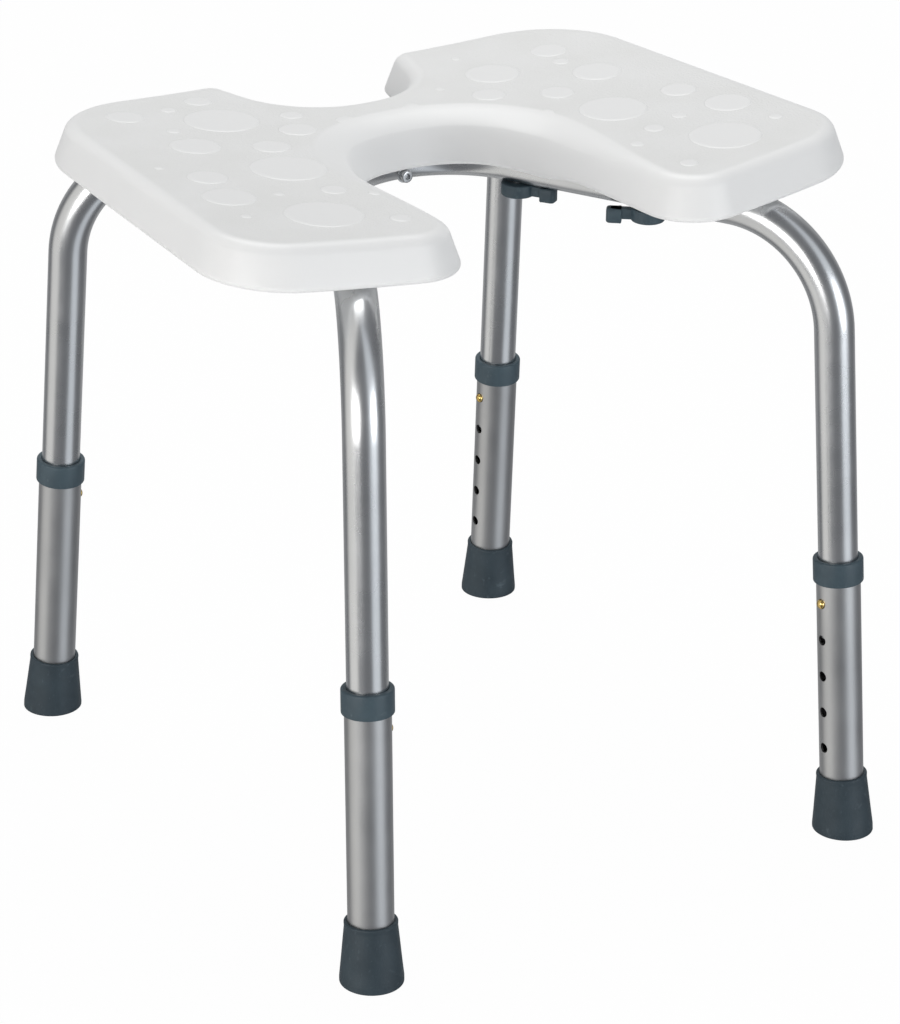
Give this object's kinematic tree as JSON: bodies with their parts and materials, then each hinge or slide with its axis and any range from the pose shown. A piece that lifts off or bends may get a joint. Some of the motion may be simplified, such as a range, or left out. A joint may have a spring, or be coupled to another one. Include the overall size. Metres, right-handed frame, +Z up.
{
  "type": "shower stool",
  "caption": "Shower stool with a dished U-shaped white seat, bent aluminium tube frame, telescopic legs with spring buttons, rubber feet and lever locks.",
  "frame": {"origin": "on the floor, in the middle between the four feet", "axes": "+X across the seat to its right wing, +Y to the rear, away from the open side of the seat, +Z up"},
  "size_m": [0.4604, 0.4656, 0.4533],
  "materials": {
    "seat_plastic": "white moulded plastic, pebbled on top with smooth round bubbles and a smooth skirt",
    "upper_aluminium": "satin drawn and anodised tube",
    "lower_aluminium": "matt anodised tube",
    "dark_plastic": "dark blue-grey moulded plastic",
    "foot_rubber": "dark blue-grey rubber",
    "fastener_steel": "zinc-plated steel",
    "spring_steel": "spring steel strip",
    "brass": "turned brass"
  },
  "bodies": {
    "frame": {"seat": "seat_plastic", "seat_inserts": "brass", "front_tube": "upper_aluminium", "rear_tube": "upper_aluminium", "tube_saddle": "dark_plastic", "centre_bolt": "fastener_steel", "centre_washers": "fastener_steel", "centre_nut": "fastener_steel", "button_spring_front_left": "spring_steel", "button_spring_front_right": "spring_steel", "button_spring_rear_left": "spring_steel", "button_spring_rear_right": "spring_steel"},
    "leg_front_left": {"lower_tube_front_left": "lower_aluminium", "collar_front_left": "dark_plastic", "foot_front_left": "foot_rubber", "foot_washer_front_left": "fastener_steel"},
    "push_button_front_left": {"button_front_left": "brass"},
    "leg_front_right": {"lower_tube_front_right": "lower_aluminium", "collar_front_right": "dark_plastic", "foot_front_right": "foot_rubber", "foot_washer_front_right": "fastener_steel"},
    "push_button_front_right": {"button_front_right": "brass"},
    "leg_rear_left": {"lower_tube_rear_left": "lower_aluminium", "collar_rear_left": "dark_plastic", "foot_rear_left": "foot_rubber", "foot_washer_rear_left": "fastener_steel"},
    "push_button_rear_left": {"button_rear_left": "brass"},
    "leg_rear_right": {"lower_tube_rear_right": "lower_aluminium", "collar_rear_right": "dark_plastic", "foot_rear_right": "foot_rubber", "foot_washer_rear_right": "fastener_steel"},
    "push_button_rear_right": {"button_rear_right": "brass"},
    "lock_inner_left": {"lever_inner_left": "dark_plastic", "stud_inner_left": "fastener_steel"},
    "lock_inner_right": {"lever_inner_right": "dark_plastic", "stud_inner_right": "fastener_steel"},
    "lock_outer_left": {"lever_outer_left": "dark_plastic", "stud_outer_left": "fastener_steel"},
    "lock_outer_right": {"lever_outer_right": "dark_plastic", "stud_outer_right": "fastener_steel"}
  },
  "joints": [
    {"name": "leg_slide_front_left", "type": "slide", "parent": "frame", "child": "leg_front_left", "axis": [0.0284, 0.0782, 0.9965], "range_m": [0, 0.1016], "deforming": ["button_front_left", "button_spring_front_left"]},
    {"name": "button_press_front_left", "type": "slide", "parent": "frame", "child": "push_button_front_left", "axis": [-0.9996, 0, 0.0285], "range_m": [0, 0.004], "stiffness_N_per_m": 500, "springref_m": -0.002, "deforming": ["button_spring_front_left"]},
    {"name": "leg_slide_front_right", "type": "slide", "parent": "frame", "child": "leg_front_right", "axis": [-0.0284, 0.0782, 0.9965], "range_m": [0, 0.1016], "deforming": ["button_front_right", "button_spring_front_right"]},
    {"name": "button_press_front_right", "type": "slide", "parent": "frame", "child": "push_button_front_right", "axis": [0.9996, 0, 0.0285], "range_m": [0, 0.004], "stiffness_N_per_m": 500, "springref_m": -0.002, "deforming": ["button_spring_front_right"]},
    {"name": "leg_slide_rear_left", "type": "slide", "parent": "frame", "child": "leg_rear_left", "axis": [0.0284, -0.0782, 0.9965], "range_m": [0, 0.1016], "deforming": ["button_rear_left", "button_spring_rear_left"]},
    {"name": "button_press_rear_left", "type": "slide", "parent": "frame", "child": "push_button_rear_left", "axis": [-0.9996, 0, 0.0285], "range_m": [0, 0.004], "stiffness_N_per_m": 500, "springref_m": -0.002, "deforming": ["button_spring_rear_left"]},
    {"name": "leg_slide_rear_right", "type": "slide", "parent": "frame", "child": "leg_rear_right", "axis": [-0.0284, -0.0782, 0.9965], "range_m": [0, 0.1016], "deforming": ["button_rear_right", "button_spring_rear_right"]},
    {"name": "button_press_rear_right", "type": "slide", "parent": "frame", "child": "push_button_rear_right", "axis": [0.9996, 0, 0.0285], "range_m": [0, 0.004], "stiffness_N_per_m": 500, "springref_m": -0.002, "deforming": ["button_spring_rear_right"]},
    {"name": "lock_turn_inner_left", "type": "hinge", "parent": "frame", "child": "lock_inner_left", "pos_m": [-0.06747, 0.0154, 0.395], "axis": [0, 0, 1], "continuous": true},
    {"name": "lock_turn_inner_right", "type": "hinge", "parent": "frame", "child": "lock_inner_right", "pos_m": [0.06747, 0.0154, 0.395], "axis": [0, 0, 1], "continuous": true},
    {"name": "lock_turn_outer_left", "type": "hinge", "parent": "frame", "child": "lock_outer_left", "pos_m": [-0.11102, -0.0679, 0.395], "axis": [0, 0, 1], "continuous": true},
    {"name": "lock_turn_outer_right", "type": "hinge", "parent": "frame", "child": "lock_outer_right", "pos_m": [0.11102, -0.0679, 0.395], "axis": [0, 0, 1], "continuous": true}
  ]
}
